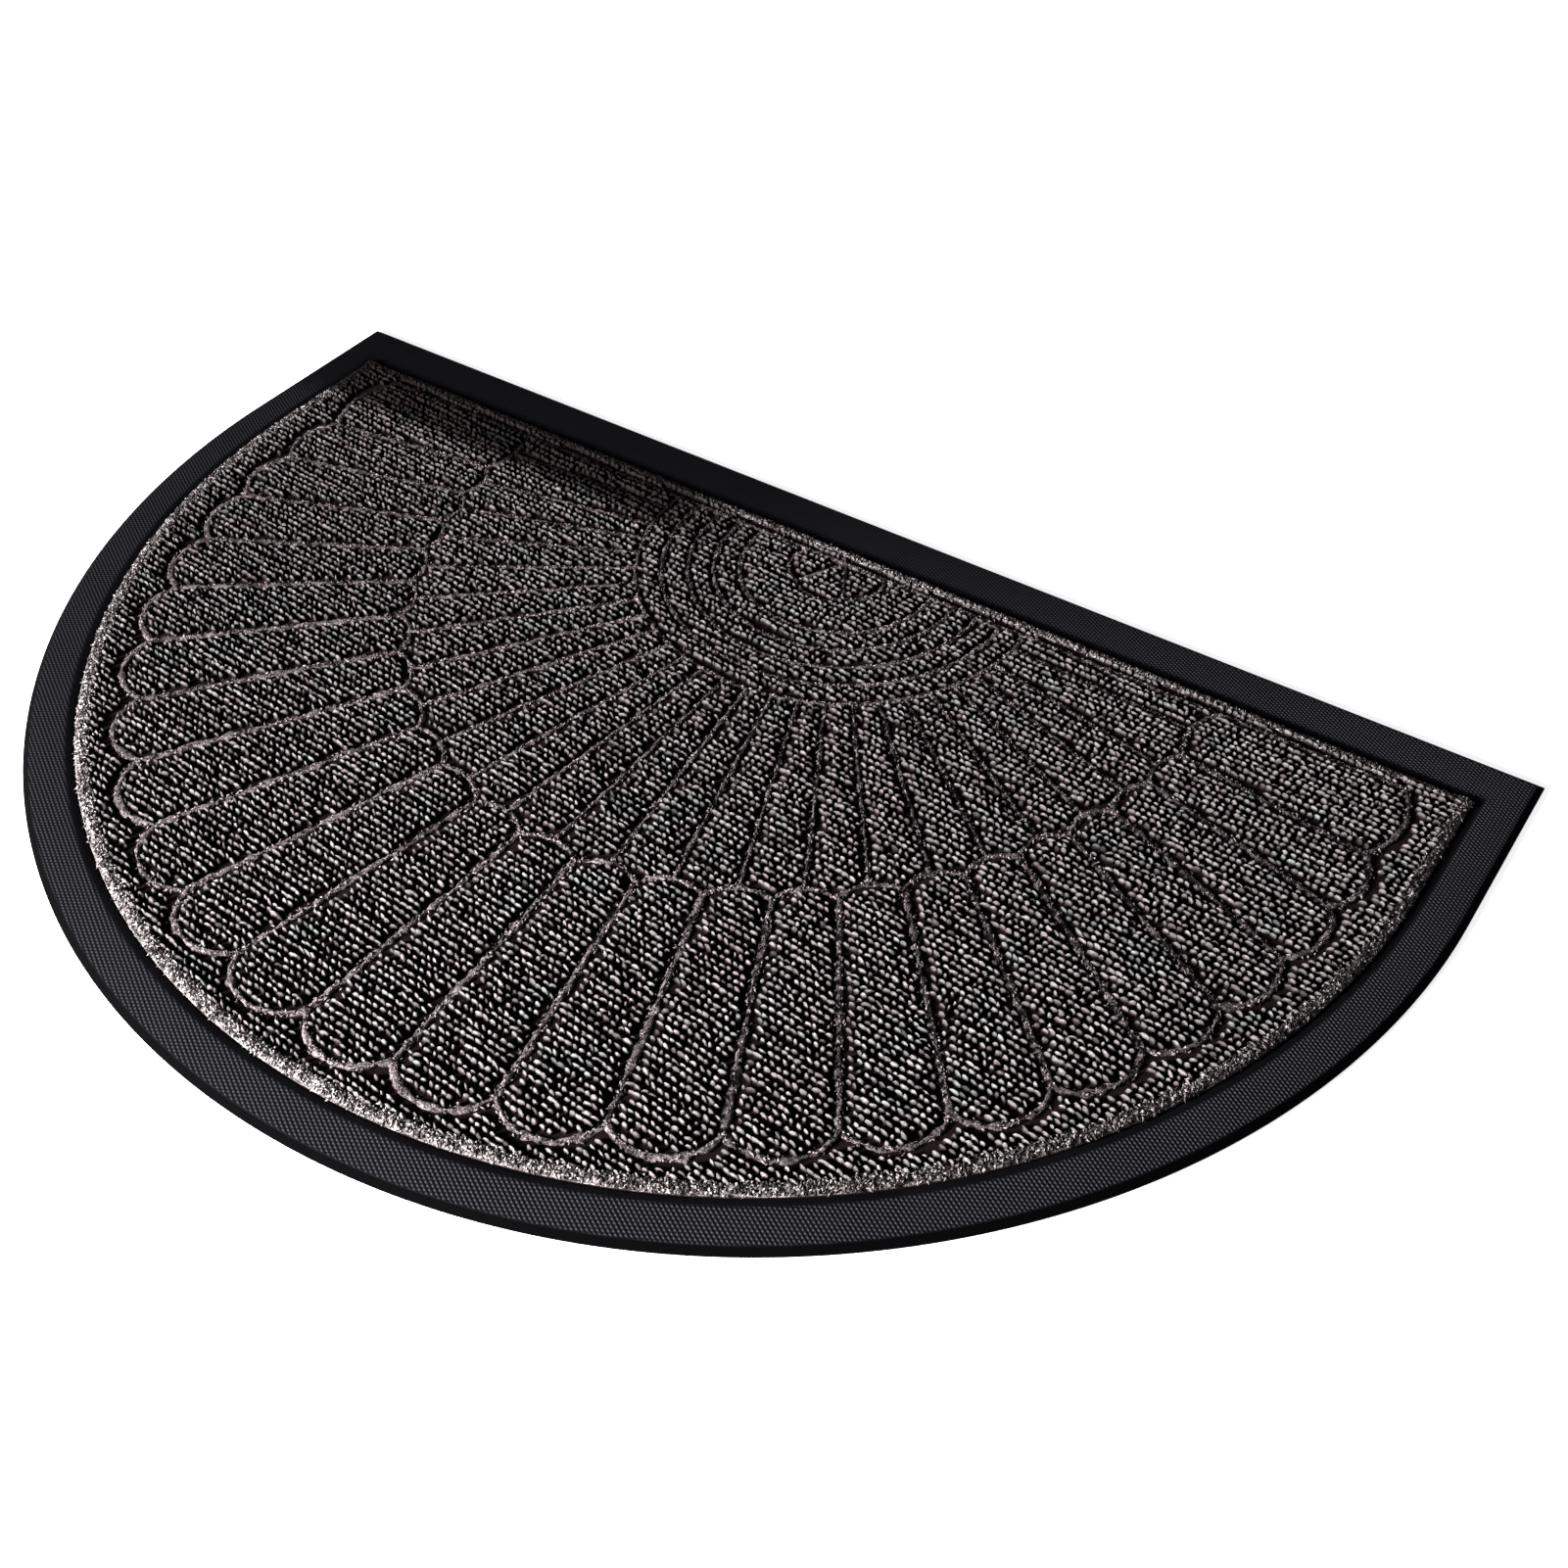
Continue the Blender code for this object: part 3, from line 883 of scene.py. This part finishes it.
def loose_fibres(count):
    """Grains of fibre on the strip that point anywhere, more of them across the strip than along it,
    and straying a little into the pile. A random way round the outline gives each its place."""
    ring = carpet_edge(0.0)
    ahead = np.roll(ring, -1, axis=0) - ring
    reach = np.concatenate([[0], np.cumsum(np.linalg.norm(ahead, axis=1))])
    spot = random.uniform(0, reach[-1], count)
    number = np.searchsorted(reach, spot) - 1
    share = (spot - reach[number]) / np.diff(reach)[number]
    along = ahead[number] / np.linalg.norm(ahead[number], axis=1)[:, None]
    inward = np.stack([-along[:, 1], along[:, 0]], 1)
    wide = np.where(number < back_steps, back_strip_width, strip_width)
    inset = random.uniform(edge_fibre_first, 1, count) * wide
    inset = inset + random.exponential(edge_fibre_stray, count)
    middle = ring[number] + ahead[number] * share[:, None] + inward * inset[:, None]
    turn = random.normal(*edge_fibre_turn, count)[:, None]
    way = along * np.cos(turn) + inward * np.sin(turn)
    base = edge_fibre_base + edge_fibre_rise * np.clip(inset / edge_fibre_slope, 0, 1)
    return grains(middle, way, base, *edge_fibre_sizes)


points, faces, shade = loose_fibres(edge_fibre_count)
fuzz = add_fibre("edge_fibres", points, faces, shade * welded(points) * edge_fibre_gain)

edge_dark = (0.005, 0.003, 0.003, 1)
edge_pale = (0.43, 0.380, 0.380, 1)
edge_depth = 0.0008
finish = Finish("pressed_fibre", Roughness=0.85, Specular_IOR_Level=0.08)
flecks = finish.noise(0.0010, 3)
clumps = finish.noise(0.0060, 2).between(0.3, 0.7)
light = flecks.between(0.34, 0.62) * finish.measure("shade") * (clumps * 0.7 + 0.4)
finish.dress(
    edge, fuzz,
    Base_Color=finish.mixed(edge_dark, edge_pale, light),
    Normal=finish.bump(flecks, edge_depth),
)

# The floor and the light
# A plain pale floor just under the mat, a broad soft light in front of the mat and to its left, and a
# pale room round it.

floor_half, floor_level = 30.0, -0.0003
floor_corners = np.array([(-1, -1), (1, -1), (1, 1), (-1, 1)]) * floor_half
mesh = bpy.data.meshes.new("floor")
mesh.from_pydata(np.insert(floor_corners, 2, floor_level, axis=1), [], [(0, 1, 2, 3)])
floor = bpy.data.objects.new("floor", mesh)
bpy.context.scene.collection.objects.link(floor)
finish = Finish(
    "pale_floor", Base_Color=(0.93, 0.93, 0.93, 1), Roughness=0.9, Specular_IOR_Level=0.1,
    Emission_Color=(1, 1, 1, 1), Emission_Strength=0.75,
)
finish.dress(floor)

light_place, light_aim = Vector((-0.78, -1.66, 0.60)), Vector((0.35, 0.05, 0))
lamp = bpy.data.lights.new("front_light", "AREA")
lamp.size, lamp.energy, lamp.spread = 0.5, 92, np.radians(100)
front_light = bpy.data.objects.new("front_light", lamp)
front_light.location = light_place
front_light.rotation_euler = (light_aim - light_place).to_track_quat("-Z", "Y").to_euler()
bpy.context.scene.collection.objects.link(front_light)

room_colour, room_strength = (0.9, 0.93, 1.0, 1), 0.18
world = bpy.data.worlds.new("room")
world.use_nodes = True
background = world.node_tree.nodes["Background"]
background.inputs["Color"].default_value = room_colour
background.inputs["Strength"].default_value = room_strength
bpy.context.scene.world = world
bpy.context.scene.view_settings.view_transform = "Standard"

# The camera
# In front of the mat and to its right, looking down at it. Its turn is three unit ways: back along
# the view, from the azimuth and the elevation, and right and up, which the roll turns about it.

eye = Vector((0.5413, -0.6826, 0.8157))
azimuth, elevation, roll = np.radians([32.19, 43.16, 1.33])
lens, sensor = 46.95, 36.0
flat, rise = np.cos(elevation), np.sin(elevation)
back = Vector((np.sin(azimuth) * flat, -np.cos(azimuth) * flat, rise))
right = Vector((np.cos(azimuth), np.sin(azimuth), 0.0))
up = back.cross(right)
rolled_right = right * np.cos(roll) + up * np.sin(roll)
rolled_up = up * np.cos(roll) - right * np.sin(roll)
turned = Matrix((rolled_right, rolled_up, back)).transposed()
camera = bpy.data.objects.new("camera", bpy.data.cameras.new("camera"))
camera.data.lens, camera.data.sensor_width = lens, sensor
camera.matrix_world = Matrix.Translation(eye) @ turned.to_4x4()
bpy.context.scene.collection.objects.link(camera)
bpy.context.scene.camera = camera
